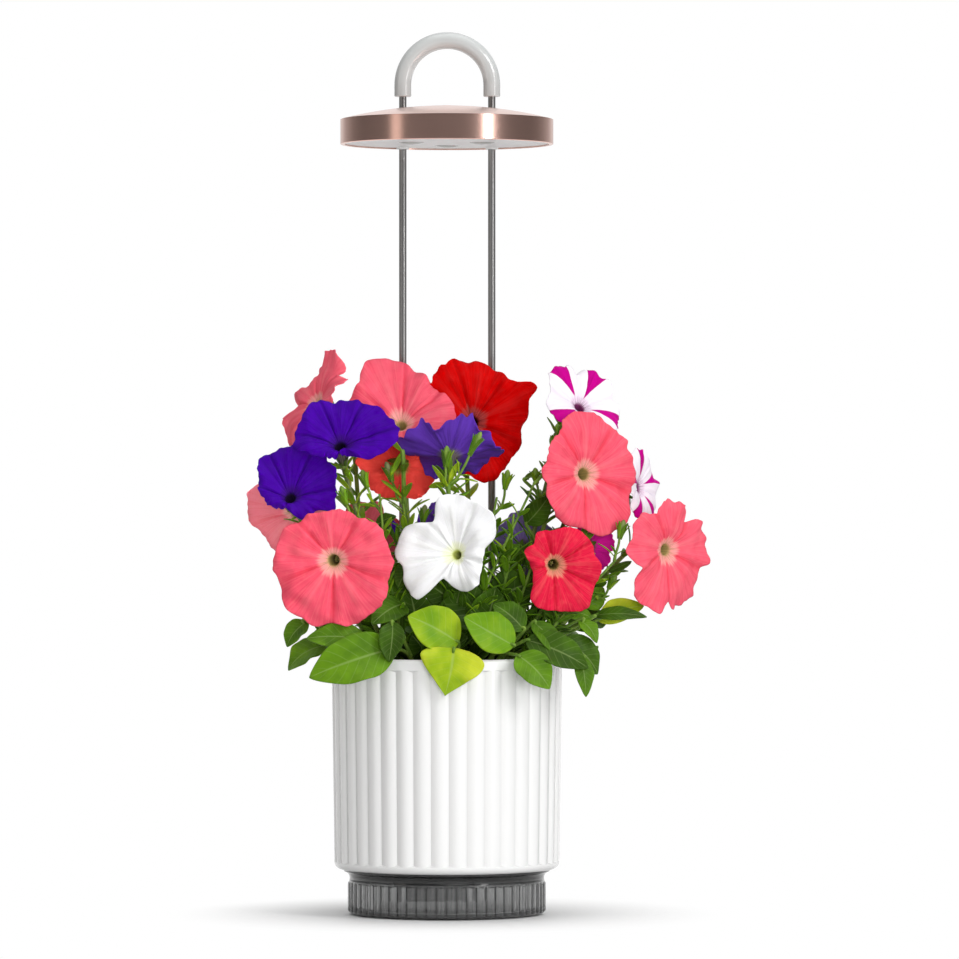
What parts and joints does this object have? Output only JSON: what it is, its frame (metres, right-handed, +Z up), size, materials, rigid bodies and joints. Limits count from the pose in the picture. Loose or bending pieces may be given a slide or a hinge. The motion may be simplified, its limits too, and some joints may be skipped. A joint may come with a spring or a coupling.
{
  "type": "hydroponic vase",
  "caption": "Table-top hydroponic planter: ribbed pot on a clear water tank, pump-fed basket with petunias, and a round grow lamp that slides on steel rods under a bent carrying handle.",
  "frame": {"origin": "centre of the foot pad's underside, on the surface the vase stands on", "axes": "+Z up; -Y is the front; the rods, the handle and the inlet are at the back, +Y; +X is to the right seen from the front"},
  "size_m": [0.2838, 0.1638, 0.5328],
  "materials": {
    "smoky_clear": "smoky translucent, moulded",
    "white_gloss": "glossy white, moulded",
    "white_satin": "satin white tube",
    "copper": "copper-coloured, polished",
    "steel": "polished",
    "lamp_plate": "pale grey, matte",
    "lens": "clear, lightly frosted",
    "rubber_pad": "matte",
    "soft_seal": "matte",
    "black_plastic": "fine grain",
    "grey_plastic": "fine grain",
    "white_plastic": "fine grain",
    "clay_pebbles": "fired clay pebbles",
    "clear_tube": "clear tube",
    "laminated_steel": "laminated",
    "copper_wire": "enamelled winding",
    "magnet": "matte",
    "lead_cover": "smooth",
    "foam_float": "closed foam",
    "screw_steel": "plain",
    "brass": "machined",
    "board_green": "solder mask",
    "board_white": "white solder mask",
    "components": "moulded",
    "emitter": "phosphor",
    "bare_aluminium": "plain",
    "spring_bronze": "plain",
    "petals_coral": "petal",
    "petals_violet": "petal",
    "petals_red": "petal",
    "petals_white": "petal",
    "petals_striped": "petal, white with magenta stripes",
    "leaf_green": "leaf"
  },
  "bodies": {
    "tank": {"water_tank": "smoky_clear", "foot_pad": "rubber_pad"},
    "lamp": {"lamp_ring": "copper", "lamp_dome": "copper", "lens_plate": "lamp_plate", "lens_windows": "lens", "led_board": "board_white", "led_chips": "emitter", "heat_spreader": "bare_aluminium", "spreader_screws": "screw_steel", "driver_board": "board_green", "driver_parts": "components", "tact_switch": "black_plastic", "lower_bushings": "white_plastic", "upper_bushings": "white_plastic", "contact_springs": "spring_bronze"},
    "button": {"lamp_button": "copper", "switch_plunger": "white_plastic"},
    "rotor": {"impeller": "white_plastic", "rotor_magnet": "magnet"},
    "float": {"level_float": "foam_float"},
    "vase": {"outer_pot": "white_gloss", "inner_deck": "grey_plastic", "deck_screws": "screw_steel", "net_basket": "black_plastic", "growing_medium": "clay_pebbles", "riser_tube": "clear_tube", "drip_cap": "black_plastic", "pump_housing": "black_plastic", "pump_back_cover": "black_plastic", "stator_core": "laminated_steel", "stator_coil": "copper_wire", "rotor_shaft": "steel", "pump_cover": "black_plastic", "pump_strainer": "black_plastic", "pump_lead": "lead_cover", "float_stem": "grey_plastic", "float_clip": "screw_steel", "float_nut": "grey_plastic", "service_box": "grey_plastic", "service_lid": "white_plastic", "lid_screws": "screw_steel", "rod_grommets": "soft_seal", "rod_terminals": "brass", "terminal_screws": "screw_steel", "left_rod": "steel", "right_rod": "steel", "control_board": "board_green", "board_parts": "components", "dc_socket": "black_plastic", "socket_nut": "screw_steel", "handle": "white_satin", "handle_screws": "screw_steel", "petunia_coral": "petals_coral", "petunia_violet": "petals_violet", "petunia_red": "petals_red", "petunia_white": "petals_white", "petunia_striped": "petals_striped", "petunia_foliage": "leaf_green"}
  },
  "joints": [
    {"name": "pot_lift", "type": "slide", "parent": "tank", "child": "vase", "axis": [0, 0, 1], "range_m": [0, 0.08]},
    {"name": "lamp_slide", "type": "slide", "parent": "vase", "child": "lamp", "axis": [0, 0, 1], "range_m": [-0.11, 0.012]},
    {"name": "lamp_button_press", "type": "slide", "parent": "lamp", "child": "button", "axis": [0, 0, -1], "range_m": [0, 0.0005], "stiffness_N_per_m": 1500, "springref_m": -0.0006},
    {"name": "float_slide", "type": "slide", "parent": "vase", "child": "float", "axis": [0, 0, 1], "range_m": [0, 0.036]},
    {"name": "impeller_spin", "type": "hinge", "parent": "vase", "child": "rotor", "pos_m": [0, 0, 0.022], "axis": [1, 0, 0], "continuous": true}
  ]
}
